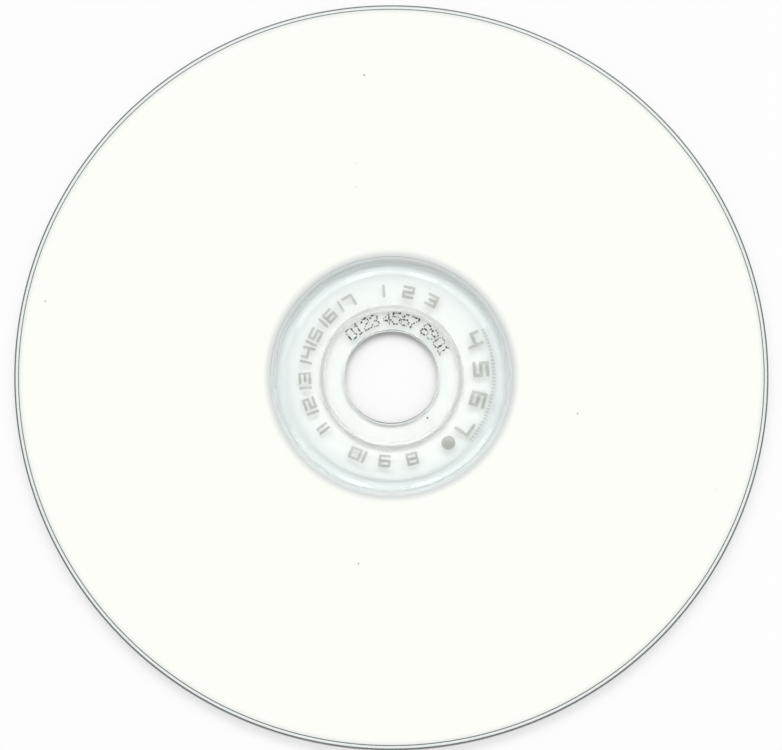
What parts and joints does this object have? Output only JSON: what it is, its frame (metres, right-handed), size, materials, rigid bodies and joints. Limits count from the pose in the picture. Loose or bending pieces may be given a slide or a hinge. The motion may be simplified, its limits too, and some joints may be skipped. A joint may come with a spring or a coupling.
{
  "type": "compact disc",
  "caption": "Recordable optical disc lying label side up: clear moulded hub with a spindle hole, a white printable coat and a reflective read side.",
  "frame": {"origin": "on the axis of the spindle hole, level with the crest of the stacking ring that the disc rests on", "axes": "+Z along the disc's axis, out of the label side; +X to the right and +Y to the top of the picture"},
  "size_m": [0.12, 0.12, 0.0014],
  "materials": {
    "clear_polycarbonate": "clear, moulded to a polish",
    "reflective_film": "sputtered metal film over dye, seen through the clear plastic",
    "white_coat": "matt, screen printed, takes ink"
  },
  "bodies": {
    "root": {"substrate": "clear_polycarbonate", "recording_layer": "reflective_film", "label_coat": "white_coat"}
  },
  "joints": []
}
